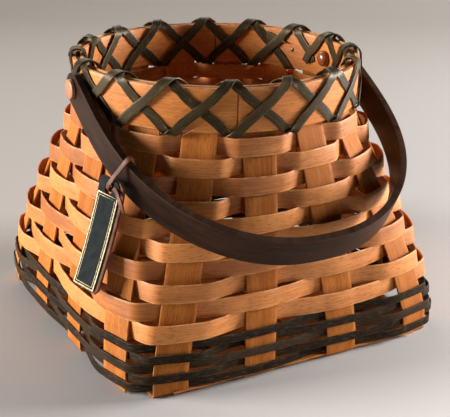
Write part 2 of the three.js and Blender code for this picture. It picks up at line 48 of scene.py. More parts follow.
view_back = Vector((
    math.sin(view_turn) * math.cos(view_height),
    -math.cos(view_turn) * math.cos(view_height),
    math.sin(view_height),
))
bpy.ops.object.select_all(action="DESELECT")
bpy.ops.object.camera_add(location=view_aim + view_back * view_distance)
camera = bpy.context.object
camera.name = "photo_camera"
camera.rotation_mode = "QUATERNION"
camera.rotation_quaternion = view_back.to_track_quat("Z", "Y") @ Quaternion((0, 0, 1), view_roll)
camera.data.lens = view_lens
camera.data.sensor_width = 36
bpy.context.scene.camera = camera
bpy.context.scene.view_settings.view_transform = "Standard"


# A pale seamless sweep of paper under and behind the basket, and soft boxes to the left and right:
# the left face and the right edge are bright, the front face is in half shade. A weak box behind and
# a weak fill in front keep the shade open.
lamp_aim = Vector((0, 0, 0.1))
near_white = (1.0, 0.985, 0.985)
warm_white = (1.0, 0.98, 0.96)


def soft_box(name, place, size, power, tint):
    bpy.ops.object.light_add(type="AREA", location=place)
    lamp = bpy.context.object
    lamp.name = name
    lamp.data.shape = "RECTANGLE"
    lamp.data.size = size[0]
    lamp.data.size_y = size[1]
    lamp.data.energy = power
    lamp.data.color = tint
    lamp.rotation_mode = "QUATERNION"
    lamp.rotation_quaternion = (Vector(place) - lamp_aim).to_track_quat("Z", "Y")


paper_size = 14.0
paper_rise = 2.5
paper_bend_from = 1.2
paper_bend_run = 1.8
# Turn of the painted light falloff across the paper.
paper_falloff_turn = math.radians(35)
bpy.ops.object.select_all(action="DESELECT")
bpy.ops.mesh.primitive_grid_add(x_subdivisions=2, y_subdivisions=100, size=paper_size)
paper = bpy.context.object
paper.name = "paper_sweep"
for point in paper.data.vertices:
    bent = min(1.0, max(0.0, point.co.y - paper_bend_from) / paper_bend_run)
    point.co.z = paper_rise * (1 - math.cos(bent * math.pi / 2))
paper.data.transform(Quaternion((0, 0, 1), view_turn).to_matrix().to_4x4())
bpy.ops.object.shade_smooth()
paper_look = bpy.data.materials.new("paper")
paper_look.use_nodes = True
paper_nodes = paper_look.node_tree.nodes
paper_links = paper_look.node_tree.links
paper_shader = paper_nodes["Principled BSDF"]
paper_shader.inputs["Roughness"].default_value = 0.9
# The paper's colour is a painted light falloff, darker away from the near right and lighter toward it,
# standing in for the lamps' uneven light on the sweep.
paper_place = paper_nodes.new("ShaderNodeTexCoord")
paper_turn = paper_nodes.new("ShaderNodeMapping")
paper_turn.inputs["Rotation"].default_value = (0, 0, paper_falloff_turn - view_turn)
paper_split = paper_nodes.new("ShaderNodeSeparateXYZ")
paper_falloff_share = paper_nodes.new("ShaderNodeMapRange")
paper_falloff_share.inputs["From Min"].default_value = -1.0
paper_falloff_share.inputs["From Max"].default_value = 0.3
paper_painted_falloff_ramp = paper_nodes.new("ShaderNodeValToRGB")
paper_painted_falloff_ramp.color_ramp.elements[0].color = (0.32, 0.284, 0.252, 1)
paper_painted_falloff_ramp.color_ramp.elements[1].color = (0.77, 0.735, 0.70, 1)
paper_painted_falloff_ramp.color_ramp.elements.new(0.54).color = (0.40, 0.364, 0.330, 1)
paper_painted_falloff_ramp.color_ramp.elements.new(0.80).color = (0.42, 0.398, 0.380, 1)
paper_mottle = paper_nodes.new("ShaderNodeTexNoise")
paper_mottle.inputs["Scale"].default_value = 220
paper_bump = paper_nodes.new("ShaderNodeBump")
paper_bump.inputs["Strength"].default_value = 0.05
paper_links.new(paper_place.outputs["Object"], paper_turn.inputs["Vector"])
paper_links.new(paper_turn.outputs["Vector"], paper_split.inputs["Vector"])
paper_links.new(paper_split.outputs["X"], paper_falloff_share.inputs["Value"])
paper_links.new(paper_falloff_share.outputs["Result"], paper_painted_falloff_ramp.inputs["Fac"])
paper_links.new(paper_painted_falloff_ramp.outputs["Color"], paper_shader.inputs["Base Color"])
paper_links.new(paper_place.outputs["Object"], paper_mottle.inputs["Vector"])
paper_links.new(paper_mottle.outputs["Fac"], paper_bump.inputs["Height"])
paper_links.new(paper_bump.outputs["Normal"], paper_shader.inputs["Normal"])
paper.data.materials.append(paper_look)

soft_box("left_soft_box", (-1.90, 0.70, 0.52), (0.9, 0.6), 90, near_white)
soft_box("right_soft_box", (1.60, -0.46, 0.52), (0.7, 0.5), 63, near_white)
soft_box("back_soft_box", (0.20, 1.10, 0.95), (0.9, 0.5), 6, warm_white)
soft_box("front_fill", (0.35, -1.8, 0.26), (1.0, 0.5), 3, warm_white)
sky = bpy.data.worlds.new("studio")
sky.use_nodes = True
sky_light = sky.node_tree.nodes["Background"]
sky_light.inputs["Color"].default_value = (0.95, 0.95, 0.95, 1)
sky_light.inputs["Strength"].default_value = 0.04
bpy.context.scene.world = sky


# Uprights: eight wide strips of split wood, each one length from the rim down a wall, across the base
# and up the far wall, so that four stand on each face. They are stained a warm brown and cross over and
# under one another in the base. The body is a rounded square at the foot and a circle under the rim.
base_half = 0.1385
base_squareness = 6.9
rounding_power = 1.7
rim_mid_radius = 0.1063
rim_bottom = 0.176
rim_height = 0.032
rim_top = rim_bottom + rim_height
dark_width = 0.00635
dark_gap = 0.00065
dark_pitch = dark_width + dark_gap
first_row = 0.0049
widest = first_row + 2 * dark_pitch - dark_gap / 2
uprights = 16
uprights_on_face = 4
# Degrees from the middle of a face, at the foot and at the rim.
outer_degrees = (38.0, 33.75)
inner_degrees = (14.3, 11.25)
stake_width = 0.0254
stake_thick = 0.0014
stake_top_inset = 0.0005
stake_soft_edge = 0.0003
splint_gap = 0.0003
edge_margin = 0.001
chance = random.Random(7)


def taper(z):
    """1 at the widest row, 0 from the rim up."""
    return min(1.0, max(0.0, (rim_bottom - z) / (rim_bottom - widest)))


def squareness(z):
    """Power of the outline: 2 is a circle, more is a rounded square."""
    return 2 + (base_squareness - 2) * taper(z) ** rounding_power


def wall_radius(angle, z):
    v = taper(z)
    half = rim_mid_radius + (base_half - rim_mid_radius) * (v + math.sin(v * math.pi / 2)) / 2
    n = squareness(z)
    return half / (abs(math.cos(angle)) ** n + abs(math.sin(angle)) ** n) ** (1 / n)


def wall_normal(angle, z):
    n = squareness(z)
    c = math.cos(angle)
    s = math.sin(angle)
    x = math.copysign(abs(c) ** (n - 1), c)
    y = math.copysign(abs(s) ** (n - 1), s)
    return Vector((x, y, 0)).normalized()


def turn_left(v):
    return Vector((-v.y, v.x, 0))


def upright(index, z):
    """Middle of an upright at a height, with its outward and its sideways direction."""
    face, place = divmod(index % uprights, uprights_on_face)
    low, high = outer_degrees if place in (0, 3) else inner_degrees
    side = -1 if place < 2 else 1
    angle = math.radians((face - 1) * 90 + side * (high + (low - high) * taper(z)))
    r = wall_radius(angle, z)
    normal = wall_normal(angle, z)
    return Vector((r * math.cos(angle), r * math.sin(angle), z)), normal, turn_left(normal)


def lay_splint(name, stations, across_cells, thick, soft_edge, edge_steps=2):
    """A flat strip laid along stations, each a middle point and a full-width vector."""
    bpy.ops.object.select_all(action="DESELECT")
    spans = len(stations) - 1
    bpy.ops.mesh.primitive_grid_add(x_subdivisions=spans, y_subdivisions=across_cells, size=1)
    strip = bpy.context.object
    strip.name = name
    edge = strip.data.attributes.new("edge", "FLOAT", "POINT")
    run = [0.0]
    for here, after in zip(stations, stations[1:]):
        run.append(run[-1] + (after[0] - here[0]).length)
    start = chance.uniform(0, 40)
    for layer in strip.data.uv_layers.active.data:
        step = round(layer.uv.x * spans)
        layer.uv = (start + run[step], start + layer.uv.y * stations[step][1].length)
    for order, point in enumerate(strip.data.vertices):
        middle, across = stations[round((point.co.x + 0.5) * spans)]
        edge.data[order].value = abs(2 * point.co.y)
        point.co = middle + across * point.co.y
    wall = strip.modifiers.new("wall", "SOLIDIFY")
    wall.thickness = thick
    wall.offset = 0
    bpy.ops.object.modifier_apply(modifier="wall")
    ease = strip.modifiers.new("ease", "BEVEL")
    ease.width = soft_edge
    ease.segments = edge_steps
    ease.limit_method = "ANGLE"
    ease.angle_limit = math.radians(60)
    bpy.ops.object.modifier_apply(modifier="ease")
    bpy.ops.object.shade_smooth_by_angle(angle=math.radians(40))
    return strip


def splint_finish(name, pale, deep, fleck, rough, edge_wear_and_highlight, edge_wear_and_highlight_share, gloss, sheen=(1, 1, 1)):
    """Split wood under stain: long fibres, slow changes of tone, short flecks, and paler edges that are
    partly wear and partly a painted highlight.
    """
    look = bpy.data.materials.new(name)
    look.use_nodes = True
    nodes = look.node_tree.nodes
    links = look.node_tree.links
    shader = nodes["Principled BSDF"]
    lay = nodes.new("ShaderNodeUVMap")
    lay.uv_map = "UVMap"

    def noise(along, across, detail):
        stretch = nodes.new("ShaderNodeMapping")
        stretch.inputs["Scale"].default_value = (along, across, 1)
        links.new(lay.outputs["UV"], stretch.inputs["Vector"])
        grain = nodes.new("ShaderNodeTexNoise")
        grain.noise_dimensions = "2D"
        grain.inputs["Scale"].default_value = 1
        grain.inputs["Detail"].default_value = detail
        grain.inputs["Roughness"].default_value = 0.6
        links.new(stretch.outputs["Vector"], grain.inputs["Vector"])
        return grain.outputs["Fac"]

    def weigh(value, weight, rest):
        add = nodes.new("ShaderNodeMath")
        add.operation = "MULTIPLY_ADD"
        links.new(value, add.inputs[0])
        add.inputs[1].default_value = weight
        if isinstance(rest, float):
            add.inputs[2].default_value = rest
        else:
            links.new(rest, add.inputs[2])
        return add.outputs[0]

    def blend(share, below, above):
        mix = nodes.new("ShaderNodeMix")
        mix.data_type = "RGBA"
        links.new(share, mix.inputs["Factor"])
        for socket, value in (("A", below), ("B", above)):
            place = [i for i in mix.inputs if i.name == socket and i.type == "RGBA"][0]
            if isinstance(value, tuple):
                place.default_value = (*value, 1)
            else:
                links.new(value, place)
        return [o for o in mix.outputs if o.type == "RGBA"][0]

    def step(value, low, high, top):
        ramp = nodes.new("ShaderNodeMapRange")
        ramp.inputs["From Min"].default_value = low
        ramp.inputs["From Max"].default_value = high
        ramp.inputs["To Max"].default_value = top
        links.new(value, ramp.inputs["Value"])
        return ramp.outputs["Result"]

    fibre = noise(28, 1500, 5)
    streak = noise(22, 480, 3)
    cloud = noise(14, 70, 3)
    piece = noise(1.3, 2, 1)
    tone = weigh(piece, 2.4, weigh(cloud, 1.4, weigh(streak, 0.8, weigh(fibre, 1.0, -2.3))))
    colour = blend(tone, deep, pale)
    colour = blend(step(noise(150, 1500, 2), 0.56, 0.68, 0.6), colour, fleck)
    # Paler edges: partly wear on the cut edges, partly a painted highlight standing in for the edges
    # catching the light.
    side = nodes.new("ShaderNodeAttribute")
    side.attribute_name = "edge"
    edge_wear_and_highlight_mask = nodes.new("ShaderNodeMath")
    edge_wear_and_highlight_mask.operation = "MULTIPLY"
    links.new(step(side.outputs["Fac"], 0.80, 1.0, edge_wear_and_highlight_share), edge_wear_and_highlight_mask.inputs[0])
    links.new(step(noise(120, 300, 3), 0.38, 0.62, 1.0), edge_wear_and_highlight_mask.inputs[1])
    colour = blend(edge_wear_and_highlight_mask.outputs[0], colour, edge_wear_and_highlight)
    links.new(colour, shader.inputs["Base Color"])
    links.new(weigh(fibre, 0.22, rough - 0.11), shader.inputs["Roughness"])
    relief = nodes.new("ShaderNodeBump")
    relief.inputs["Strength"].default_value = 0.35
    relief.inputs["Distance"].default_value = 0.0003
    links.new(weigh(cloud, 0.6, fibre), relief.inputs["Height"])
    links.new(relief.outputs["Normal"], shader.inputs["Normal"])
    shader.inputs["Specular IOR Level"].default_value = gloss
    shader.inputs["Specular Tint"].default_value = (*sheen, 1)
    return look


base_lift = (stake_thick + splint_gap) / 2
base_mid = base_lift + stake_thick / 2
bend_radius = 0.003
inner_line = upright(2, base_mid)[0].x
outer_line = upright(3, base_mid)[0].x
filler_line = (inner_line + outer_line) / 2
base_lines = [-outer_line, -filler_line, -inner_line, 0, inner_line, filler_line, outer_line]
crossing_reach = stake_width / 2 + edge_margin
upright_finish = splint_finish(
    "upright_splint",
    pale=(0.60, 0.198, 0.040), deep=(0.35, 0.104, 0.017), fleck=(0.21, 0.057, 0.009),
    rough=0.6, edge_wear_and_highlight=(0.70, 0.30, 0.10), edge_wear_and_highlight_share=0.45, gloss=0.08)


def smooth(share):
    return share * share * (3 - 2 * share)


def base_run(line, along, across, low_when_even, reach):
    """A strip across the base, over and under the seven lines of strips that it meets."""
    lifts = []
    for order in range(len(base_lines)):
        low = ((line + order) % 2 == 0) == low_when_even
        lifts.append(-base_lift if low else base_lift)
    stations = []
    steps = 72
    for step in range(steps + 1):
        place = reach * (2 * step / steps - 1)
        lift = lifts[0] if place < 0 else lifts[-1]
        for order in range(len(base_lines) - 1):
            from_edge = base_lines[order] + crossing_reach
            to_edge = base_lines[order + 1] - crossing_reach
            if base_lines[order] <= place < base_lines[order + 1]:
                share = min(1.0, max(0.0, (place - from_edge) / (to_edge - from_edge)))
                lift = lifts[order] + (lifts[order + 1] - lifts[order]) * smooth(share)
        middle = along * place + across * base_lines[line]
        middle.z = base_mid + lift
        stations.append((middle, across * stake_width))
    return stations


def wall_run(index, flip):
    """An upright from the rim down its wall and round the bend into the base."""
    stations = []
    steps = 56
    top = rim_top - stake_top_inset
    foot = base_mid + bend_radius
    for step in range(steps):
        z = top + (foot - top) * step / (steps - 1)
        middle, _, tangent = upright(index, z)
        stations.append((middle, tangent * flip * stake_width))
    middle, normal, _ = upright(index, base_mid)
    face = math.radians((index // uprights_on_face - 1) * 90)
    out = Vector((round(math.cos(face)), round(math.sin(face)), 0))
    for turn in (75, 60, 45, 30, 15):
        angle = math.radians(turn)
        outward = normal.lerp(out, 1 - turn / 90).normalized()
        place = middle + out * bend_radius * (math.sin(angle) - 1)
        place.z = base_mid + bend_radius * (1 - math.cos(angle))
        stations.append((place, turn_left(outward) * flip * stake_width))
    return stations


right = Vector((1, 0, 0))
back = Vector((0, 1, 0))
bend_room = 0.004
base_reach = base_half - bend_radius - bend_room
for place in range(uprights_on_face):
    crosswise = base_run(place * 2, right, back, False, base_reach)
    lengthwise = base_run(place * 2, back, right, True, base_reach)
    stake_routes = {
        f"stake_x_{place + 1}": wall_run(15 - place, -1) + crosswise + wall_run(4 + place, 1)[::-1],
        f"stake_y_{place + 1}": wall_run(place, 1) + lengthwise + wall_run(11 - place, -1)[::-1],
    }
    for node, route in stake_routes.items():
        stake = lay_splint(node + "_splint", route, 6, stake_thick, stake_soft_edge)
        stake.data.materials.append(upright_finish)
        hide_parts(node)
        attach(stake, "basket")


# Base fillers: shorter strips of the same stock, woven between the uprights where these cross the base,
# so that small goods stay in. Their ends stop inside the wall. A narrower flat strip fills the slit at
# the front edge of the base.
filler_reach = 0.126
for place in range(3):
    filler_routes = {
        f"base_filler_x_{place + 1}": base_run(place * 2 + 1, right, back, False, filler_reach),
        f"base_filler_y_{place + 1}": base_run(place * 2 + 1, back, right, True, filler_reach),
    }
    for node, route in filler_routes.items():
        filler = lay_splint(node + "_splint", route, 6, stake_thick, stake_soft_edge)
        filler.data.materials.append(upright_finish)
        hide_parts(node)
        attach(filler, "basket")
edge_reach = 0.104
edge_lift = 0.0032
edge_line = 0.0065 - base_half
edge_width = 0.0125
edge_sag = 0.0003
edge_steps = 40
edge_stations = []
for step in range(edge_steps + 1):
    place = edge_reach * (2 * step / edge_steps - 1)
    sag = edge_sag * math.sin(step * 0.9)
    edge_stations.append((Vector((place, edge_line, edge_lift + sag)), back * edge_width))
edge_filler = lay_splint("base_edge_filler", edge_stations, 3, stake_thick, stake_soft_edge)
edge_filler.data.materials.append(upright_finish)
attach(edge_filler, "basket")


# Weavers: every row is its own strip, in front of every second upright, with its ends lapped behind one.
# Five narrow rows dyed nearly black start at the foot, ten wider natural ones follow up to the rim.
weaver_thick = 0.001
weaver_width = 0.0134
weaver_soft_edge = 0.00022
weave_bulge = 0.0012
weaver_stand = 0.75
lap_before = 0.28
lap_run = 16.58
lap_lead = 0.003
on_upright = 0.3
last_row_top = 0.172
dark_rows = 5
natural_rows = 10
first_natural = first_row + dark_rows * dark_pitch
weaver_pitch = (last_row_top - first_natural + splint_gap) / natural_rows
cross_offset = stake_thick / 2 + weaver_thick / 2 + splint_gap
weave_edge = stake_width / 2 + edge_margin
natural_finish = splint_finish(
    "weaver_splint",
    pale=(0.71, 0.256, 0.058), deep=(0.38, 0.112, 0.018), fleck=(0.22, 0.062, 0.010),
    rough=0.54, edge_wear_and_highlight=(0.82, 0.44, 0.18), edge_wear_and_highlight_share=0.7, gloss=0.4)
dark_finish = splint_finish(
    "dark_splint",
    pale=(0.048, 0.029, 0.017), deep=(0.012, 0.007, 0.004), fleck=(0.105, 0.072, 0.044),
    rough=0.5, edge_wear_and_highlight=(0.13, 0.088, 0.052), edge_wear_and_highlight_share=0.6, gloss=0.08, sheen=(1.0, 0.86, 0.66))


def weave_edges(row, low, high, share):
    """Lower and upper edge of a row's middle surface; share runs over the whole strip, lap included.

    The straight strip stands steeper than the wall and touches an upright with one edge only.
    """
    count = row + 1
    half = count // 2
    start = 4 * (half % 4) + 2 if count % 2 else 4 * ((half + 2) % 4) + 1
    bulge = weave_bulge if row >= dark_rows else weave_bulge / 4
    stop = share * lap_run - lap_before
    step = round(stop)
    within = stop - step

    def placed(order, along):
        foot, foot_out, foot_run = upright(start + order, low)
        head, head_out, head_run = upright(start + order, high)
        lean = weaver_stand * (foot - head).dot(head_out)
        front = (start + order + count) % 2 == 0
        offset = cross_offset + bulge * (1 - min(1, abs(along) / weave_edge) ** 2)
        if order == uprights:
            offset = cross_offset + weave_bulge + weaver_thick + splint_gap
        foot_offset = offset if front else -offset - lean
        head_offset = offset + lean if front else -offset
        bottom = foot + foot_run * along + foot_out * foot_offset
        top = head + head_run * along + head_out * head_offset
        return (bottom, foot_run), (top, head_run)

    if abs(within) <= on_upright:
        return [point for point, _ in placed(step, within / on_upright * weave_edge)]
    before = math.floor(stop)
    t = (stop - before - on_upright) / (1 - 2 * on_upright)
    lead = lap_lead if before == uprights - 1 else 0
    edges = []
    leaving = placed(before, weave_edge)
    arriving = placed(before + 1, -weave_edge - lead)
    for (a, run_a), (b, run_b) in zip(leaving, arriving):
        reach = (b - a).length
        point = a * (2 * t**3 - 3 * t**2 + 1) + run_a * reach * (t**3 - 2 * t**2 + t)
        edges.append(point + b * (3 * t**2 - 2 * t**3) + run_b * reach * (t**3 - t**2))
    return edges


for row in range(dark_rows + natural_rows):
    dark = row < dark_rows
    width = dark_width if dark else weaver_width
    if dark:
        foot = first_row + row * dark_pitch
    else:
        foot = first_natural + (row - dark_rows) * weaver_pitch
    steps = 332
    waver = chance.uniform(0, 6.28)
    stations = []
    for step in range(steps + 1):
        share = step / steps
        lift = 0.00018 * math.sin(waver + share * 37) + 0.00012 * math.sin(2 * waver + share * 91)
        bottom, top = weave_edges(row, foot + lift, foot + width + lift, share)
        stations.append(((bottom + top) / 2, top - bottom))
    node = f"dark_weaver_{row + 1}" if dark else f"weaver_{row - dark_rows + 1}"
    weaver = lay_splint(node + "_splint", stations, 4, weaver_thick, weaver_soft_edge)
    weaver.data.materials.append(dark_finish if dark else natural_finish)
    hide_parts(node)
    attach(weaver, "basket")


# Rim: two steam-bent hoops of thicker wood clasp the tops of the uprights between them, each with a
# small tack in its lap. Holes on the left and right take the pegs of the handle.
hoop_thick = 0.003
hoop_gap = 0.00035
hoop_sides = 64
hoop_soft_edge = 0.0007
lap_slit = 0.1
stake_corner = math.hypot(rim_mid_radius + stake_thick / 2, stake_width / 2)
outer_hoop_in = (stake_corner + hoop_gap) / math.cos(math.pi / hoop_sides)
outer_hoop_out = outer_hoop_in + hoop_thick
inner_hoop_out = rim_mid_radius - stake_thick / 2 - hoop_gap
inner_hoop_in = inner_hoop_out - hoop_thick
pivot_height = rim_bottom + rim_height / 2
peg_bore = 0.0036
hoop_finish = splint_finish(
    "rim_hoop",
    pale=(0.74, 0.262, 0.055), deep=(0.45, 0.138, 0.023), fleck=(0.27, 0.076, 0.012),
    rough=0.52, edge_wear_and_highlight=(0.82, 0.43, 0.17), edge_wear_and_highlight_share=0.6, gloss=0.28)


def cut_away(piece, cutter):
    """Takes the form of a cutter out of a piece and deletes the cutter."""
    bpy.ops.object.select_all(action="DESELECT")
    bpy.context.view_layer.objects.active = piece
    piece.select_set(True)
    hole = piece.modifiers.new("hole", "BOOLEAN")
    hole.object = cutter
    hole.operation = "DIFFERENCE"
    hole.solver = "EXACT"
    bpy.ops.object.modifier_apply(modifier="hole")
    bpy.data.objects.remove(cutter)


def bored(piece, radius):
    """Drills the line of the handle's two pegs through a piece."""
    bpy.ops.object.select_all(action="DESELECT")
    bpy.ops.mesh.primitive_cylinder_add(
        vertices=40, radius=radius, depth=0.5,
        location=(0, 0, pivot_height), rotation=(0, math.pi / 2, 0))
    cut_away(piece, bpy.context.object)


for node, inside, lap in (
    ("rim_outer_hoop", outer_hoop_in, 250),
    ("rim_inner_hoop", inner_hoop_in, 62),
):
    middle_radius = inside + hoop_thick / 2
    steps = 240
    stations = []
    for step in range(steps + 1):
        angle = math.radians(lap + lap_slit + (360 - 2 * lap_slit) * step / steps)
        x = middle_radius * math.cos(angle)
        y = middle_radius * math.sin(angle)
        stations.append((Vector((x, y, pivot_height)), Vector((0, 0, rim_height))))
    hoop = lay_splint(node + "_band", stations, 4, hoop_thick, hoop_soft_edge)
    bored(hoop, peg_bore)
    hoop.data.materials.append(hoop_finish)
    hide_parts(node)
    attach(hoop, "basket")

tack_finish = bpy.data.materials.new("tack_metal")
tack_finish.use_nodes = True
tack_nodes = tack_finish.node_tree.nodes
tack_shader = tack_nodes["Principled BSDF"]
tack_shader.inputs["Metallic"].default_value = 0.9
tack_shader.inputs["Roughness"].default_value = 0.45
tack_place = tack_nodes.new("ShaderNodeTexCoord")
tack_spots = tack_nodes.new("ShaderNodeTexNoise")
tack_spots.inputs["Scale"].default_value = 900
tack_ramp = tack_nodes.new("ShaderNodeValToRGB")
tack_ramp.color_ramp.elements[0].color = (0.05, 0.035, 0.022, 1)
tack_ramp.color_ramp.elements[1].color = (0.30, 0.22, 0.14, 1)
tack_links = tack_finish.node_tree.links
tack_links.new(tack_place.outputs["Object"], tack_spots.inputs["Vector"])
tack_links.new(tack_spots.outputs["Fac"], tack_ramp.inputs["Fac"])
tack_links.new(tack_ramp.outputs["Color"], tack_shader.inputs["Base Color"])
tack_turn = math.radians(22.5)
tack_radius = 0.0017
tack_stand = 0.0002
tack_crown = 0.42
tack_foot = 0.1
for node, radius, way in (
    ("outer_hoop_tack", outer_hoop_out, 1),
    ("inner_hoop_tack", inner_hoop_in, -1),
):
    bpy.ops.object.select_all(action="DESELECT")
    bpy.ops.mesh.primitive_uv_sphere_add(segments=20, ring_count=12, radius=tack_radius)
    tack = bpy.context.object
    tack.name = node + "_head"
    for point in tack.data.vertices:
        point.co.z *= tack_crown if point.co.z > 0 else tack_foot
    lean = Vector((way, 0, 0)).to_track_quat("Z", "Y")
    tack.data.transform(lean.to_matrix().to_4x4())
    for point in tack.data.vertices:
        point.co.x += radius + way * tack_stand
        point.co.z += pivot_height
    tack.data.transform(Quaternion((0, 0, 1), tack_turn).to_matrix().to_4x4())
    bpy.ops.object.shade_smooth()
    tack.data.materials.append(tack_finish)
    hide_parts(node)
    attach(tack, "basket")


# Lashing: narrow dark strips wound over the rim through the gaps between the uprights. Two slant one
# way and two the other, so that they cross on every upright, outside and inside.
lash_width = 0.0070
lash_span = 0.0104
lash_thick = 0.0009
lash_gap = 0.0004
lash_soft_edge = 0.00022
lash_corner = 0.0022
lash_spring = rim_top - 0.0019
lash_pitch = math.radians(360 / uprights)
lash_over = math.radians(6)
lash_under = math.radians(2.4)
lash_turns = 8
lash_short = 12
face_steps = 14
top_steps = 16
foot_steps = (4, 5)
lash_finish = splint_finish(
    "lashing_splint",
    pale=(0.052, 0.034, 0.015), deep=(0.011, 0.007, 0.0035), fleck=(0.115, 0.080, 0.038),
    rough=0.42, edge_wear_and_highlight=(0.18, 0.125, 0.060), edge_wear_and_highlight_share=0.6, gloss=0.24, sheen=(1.0, 0.8, 0.5))


def rim_section(offset):
    """Places and outward directions once round the rim's section, from its outer foot over the top."""
    near = inner_hoop_in - offset
    far = outer_hoop_out + offset
    low = rim_bottom - offset
    middle = (near + far) / 2
    arch = (far - near) / 2
    foot = low + lash_corner
    rise = lash_spring - foot
    section = []

    def bend(x, z, radius, turn):
        section.append((x + radius * math.cos(turn), z + radius * math.sin(turn), turn))

    for step in range(face_steps):
        section.append((far, foot + rise * step / face_steps, 0))
    for step in range(top_steps):
        bend(middle, lash_spring, arch, math.pi * step / top_steps)
    for step in range(face_steps):
        section.append((near, lash_spring - rise * step / face_steps, math.pi))
    for step in range(foot_steps[0]):
        bend(near + lash_corner, foot, lash_corner, math.pi * (1 + step / foot_steps[0] / 2))
    for step in range(foot_steps[1]):
        bend(far - lash_corner, foot, lash_corner, math.pi * (1.5 + step / foot_steps[1] / 2))
    return section


def lashing_route(hand, first, layer):
    """Stations of one strip round the rim, which goes on by two uprights in each turn."""
    section = rim_section(lash_gap + layer * (lash_thick + lash_gap) + lash_thick / 2)
    face_turn = lash_pitch - (lash_over + lash_under) / 2
    up_face = [face_turn / face_steps] * face_steps
    over_top = [lash_over / top_steps] * top_steps
    under_foot = [lash_under / sum(foot_steps)] * sum(foot_steps)
    advance = up_face + over_top + up_face + under_foot
    angles = [hand * first * lash_pitch + hand * lash_under / 2]
    count = len(section) * lash_turns - lash_short
    for step in range(count - 1):
        angles.append(angles[-1] + hand * advance[step % len(section)])
    points = []
    for step in range(count):
        nearby = angles[max(0, step - 4):step + 5]
        angle = sum(nearby) / len(nearby)
        r, z, turn = section[step % len(section)]
        out = Vector((math.cos(angle), math.sin(angle), 0))
        normal = out * math.cos(turn) + Vector((0, 0, math.sin(turn)))
        points.append((out * r + Vector((0, 0, z)), normal))
    stations = []
    for order, (place, normal) in enumerate(points):
        before = points[max(0, order - 2)][0]
        after = points[min(count - 1, order + 2)][0]
        across = normal.cross((after - before).normalized()).normalized()
        stations.append((place, across * lash_width))
    return stations


for node, hand, first, layer in (
    ("lashing_left_1", -1, 0, 0),
    ("lashing_left_2", -1, 1, 0),
    ("lashing_right_1", 1, 0, 1),
    ("lashing_right_2", 1, 1, 1),
):
    route = lashing_route(hand, first, layer)
    lashing = lay_splint(node + "_strip", route, 4, lash_thick, lash_soft_edge)
    lashing.data.materials.append(lash_finish)
    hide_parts(node)
    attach(lashing, "basket")


# Loose ends: the pointed end of one lashing strip sticks out under a crossing inside the rim, and a
# pale splinter has lifted from the lashing at the front.
tip_width = 0.0062
tip_steps = 12
sliver_width = 0.0011
sliver_steps = 8


def hoop_place(radius, degrees, z):
    angle = math.radians(degrees)
    return Vector((radius * math.cos(angle), radius * math.sin(angle), z))


tip_stations = []
for step in range(tip_steps + 1):
    share = step / tip_steps
    tip_radius = inner_hoop_in - 0.0010 - 0.0022 * share**2
    place = hoop_place(tip_radius, 36.5 - 12.0 * share, 0.2020 - 0.0045 * share)
    slant = Vector((0, 0, 1)).lerp(turn_left(place).normalized(), 0.18 * share).normalized()
    point_share = max(0.0, share - 0.25) / 0.76
    tip_stations.append((place, slant * tip_width * (1 - point_share)))
lash_tip = lay_splint("lashing_tip", tip_stations, 3, 0.0008, 0.00015)
lash_tip.data.materials.append(lash_finish)
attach(lash_tip, "basket")
sliver_stations = []
for step in range(sliver_steps + 1):
    share = step / sliver_steps
    sliver_radius = outer_hoop_out + 0.0034 + 0.003 * share**2
    place = hoop_place(sliver_radius, 235.5 - 4.5 * share, 0.1800 - 0.0045 * share)
    sliver_stations.append((place, Vector((0, 0, sliver_width * (1 - 0.8 * share)))))
sliver = lay_splint("lashing_splinter", sliver_stations, 2, 0.0004, 0.0001)
sliver.data.materials.append(natural_finish)
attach(sliver, "basket")


# Handle: one flat strip of hardwood steamed and bent to a bail, its ends rounded over the pegs. It is
# stained dark brown and lies folded forward against the body.
handle_thick = 0.005
handle_width = 0.024
bail_reach = 0.184
bail_shape = 2.375
bail_flare = 0.058
flare_scale = 27 / 4
bail_fold = math.radians(28.6)
bail_steps = 220
handle_gap = 0.0005
handle_soft_edge = 0.0021
handle_edge_steps = 5
lash_out = outer_hoop_out + 2 * (lash_thick + lash_gap)
handle_in = math.hypot(lash_out, lash_span / 2) + handle_gap
bail_half = handle_in + handle_thick / 2
bail_ahead = Vector((0, -math.cos(bail_fold), -math.sin(bail_fold)))
bail_up = Vector((0, -math.sin(bail_fold), math.cos(bail_fold)))
pivot = Vector((0, 0, pivot_height))
handle_finish = splint_finish(
    "handle_wood",
    pale=(0.048, 0.021, 0.011), deep=(0.014, 0.006, 0.003), fleck=(0.006, 0.003, 0.002),
    rough=0.40, edge_wear_and_highlight=(0.10, 0.064, 0.046), edge_wear_and_highlight_share=0.2, gloss=0.1)


def bail_point(turn):
    """Middle of the bail; its legs swell outward most at two thirds of their reach."""
    c = math.cos(turn)
    v = bail_reach * abs(math.sin(turn)) ** (2 / bail_shape)
    swell = 1 + flare_scale * bail_flare * (v / bail_reach) ** 2 * (1 - v / bail_reach)
    x = bail_half * swell * math.copysign(abs(c) ** (2 / bail_shape), c)
    return pivot + right * x + bail_ahead * v


def round_end(side, degrees):
    """A station of the half round end behind a peg."""
    angle = math.radians(degrees)
    back_off = -handle_width / 2 * math.sin(angle)
    middle = pivot + right * side * bail_half + bail_ahead * back_off
    return middle, bail_up * (handle_width * math.cos(angle))


end_degrees = range(1, 87, 5)
stations = [round_end(1, degrees) for degrees in reversed(end_degrees)]
for step in range(1, bail_steps):
    stations.append((bail_point(math.pi * step / bail_steps), bail_up * handle_width))
stations += [round_end(-1, degrees) for degrees in end_degrees]
handle = lay_splint(
    "handle_band", stations, 6, handle_thick, handle_soft_edge, handle_edge_steps)
bored(handle, peg_bore)
handle.data.materials.append(handle_finish)
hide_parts("handle")
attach(handle, "bail")


